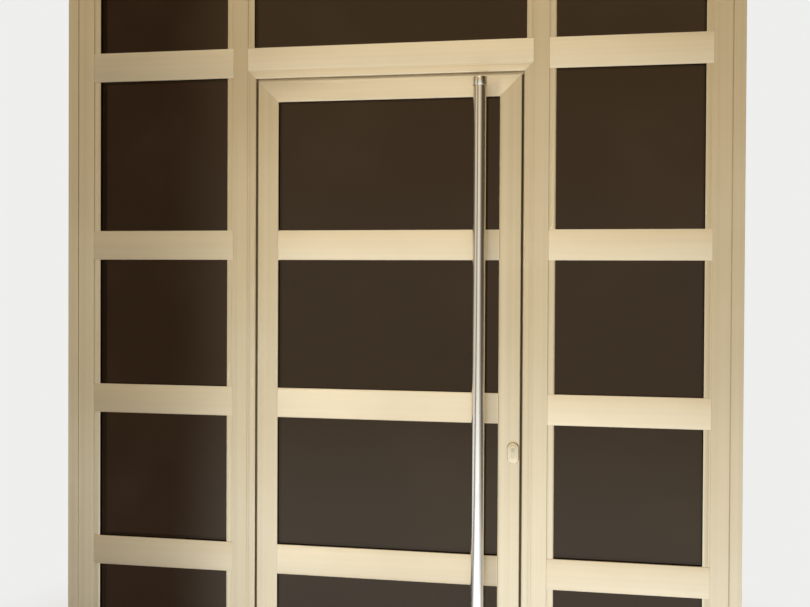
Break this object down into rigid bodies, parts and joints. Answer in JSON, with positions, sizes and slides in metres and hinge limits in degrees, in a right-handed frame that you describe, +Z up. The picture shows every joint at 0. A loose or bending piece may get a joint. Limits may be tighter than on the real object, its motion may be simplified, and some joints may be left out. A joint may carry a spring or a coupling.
{
  "type": "glass entrance door",
  "caption": "Aluminium entrance door with dark glass: a swinging leaf with cross rails and a long round pull bar, set in a fixed frame with side lights and a top light.",
  "frame": {"origin": "underside of the threshold at the middle of the leaf, in the plane of the outer face of the posts", "axes": "+X to the lock side, +Y inwards through the doorway, +Z up"},
  "size_m": [2.28, 0.1859, 2.7],
  "materials": {
    "champagne_aluminium": "satin champagne coating",
    "bronze_glass": "dark bronze laminated glass",
    "black_seal": "matt",
    "setting_plastic": "matt",
    "brush_fibre": "matt fibre",
    "plain_aluminium": "plain mill finish",
    "stainless_steel": "brushed along the bar",
    "plated_steel": "zinc plated",
    "nickel_brass": "satin nickel plated"
  },
  "bodies": {
    "frame": {"left_jamb": "champagne_aluminium", "right_jamb": "champagne_aluminium", "left_mullion": "champagne_aluminium", "right_mullion": "champagne_aluminium", "left_wall_channel": "champagne_aluminium", "right_wall_channel": "champagne_aluminium", "left_head": "champagne_aluminium", "right_head": "champagne_aluminium", "left_upper_rail": "champagne_aluminium", "right_upper_rail": "champagne_aluminium", "left_lower_rails": "champagne_aluminium", "right_lower_rails": "champagne_aluminium", "left_sill": "champagne_aluminium", "right_sill": "champagne_aluminium", "centre_head": "champagne_aluminium", "door_transom": "champagne_aluminium", "top_light_side_strips": "champagne_aluminium", "door_frame_hinge_side": "champagne_aluminium", "door_frame_lock_side": "champagne_aluminium", "door_frame_head": "champagne_aluminium", "door_frame_corner_cleats": "plain_aluminium", "door_stop_seal": "black_seal", "threshold": "plain_aluminium", "left_panes": "bronze_glass", "right_panes": "bronze_glass", "top_light_pane": "bronze_glass", "frame_glazing_seals": "black_seal", "frame_glazing_beads": "champagne_aluminium", "frame_setting_blocks": "setting_plastic", "hinge_frame_wings": "champagne_aluminium", "hinge_pins": "plated_steel", "strike_plate": "plated_steel", "frame_screws": "plated_steel"},
    "leaf": {"hinge_stile": "champagne_aluminium", "lock_stile": "champagne_aluminium", "leaf_top_rail": "champagne_aluminium", "leaf_rail_2": "champagne_aluminium", "leaf_rail_3": "champagne_aluminium", "leaf_rail_4": "champagne_aluminium", "leaf_bottom_rail": "champagne_aluminium", "leaf_panes": "bronze_glass", "leaf_glazing_seals": "black_seal", "leaf_glazing_beads": "champagne_aluminium", "leaf_setting_blocks": "setting_plastic", "leaf_corner_cleats": "plain_aluminium", "hinge_leaf_wings": "champagne_aluminium", "pull_bar": "stainless_steel", "pull_bar_collars": "stainless_steel", "pull_bar_standoffs": "stainless_steel", "pull_bar_bolts": "stainless_steel", "lock_case": "plated_steel", "lock_faceplate": "plated_steel", "escutcheons": "champagne_aluminium", "cylinder_body": "nickel_brass", "brush_seal": "brush_fibre", "leaf_screws": "plated_steel"},
    "deadbolt": {"deadbolt": "plated_steel"},
    "latch": {"latch_bolt": "plated_steel"},
    "cylinder_turn": {"cylinder_plug": "nickel_brass", "thumb_turn": "nickel_brass"}
  },
  "joints": [
    {"name": "leaf_swing", "type": "hinge", "parent": "frame", "child": "leaf", "pos_m": [-0.464, 0.073, 0], "axis": [0, 0, 1], "range_deg": [0, 95]},
    {"name": "deadbolt_slide", "type": "slide", "parent": "leaf", "child": "deadbolt", "axis": [1, 0, 0], "range_m": [0, 0.02]},
    {"name": "latch_slide", "type": "slide", "parent": "leaf", "child": "latch", "axis": [1, 0, 0], "range_m": [0, 0.011]},
    {"name": "cylinder_turn", "type": "hinge", "parent": "leaf", "child": "cylinder_turn", "pos_m": [0.423, 0.041, 1.006], "axis": [0, 1, 0], "range_deg": [0, 360]}
  ],
  "couplings": [
    {"joint": "deadbolt_slide", "follows": "cylinder_turn", "m_per_rad": 0.00315}
  ]
}
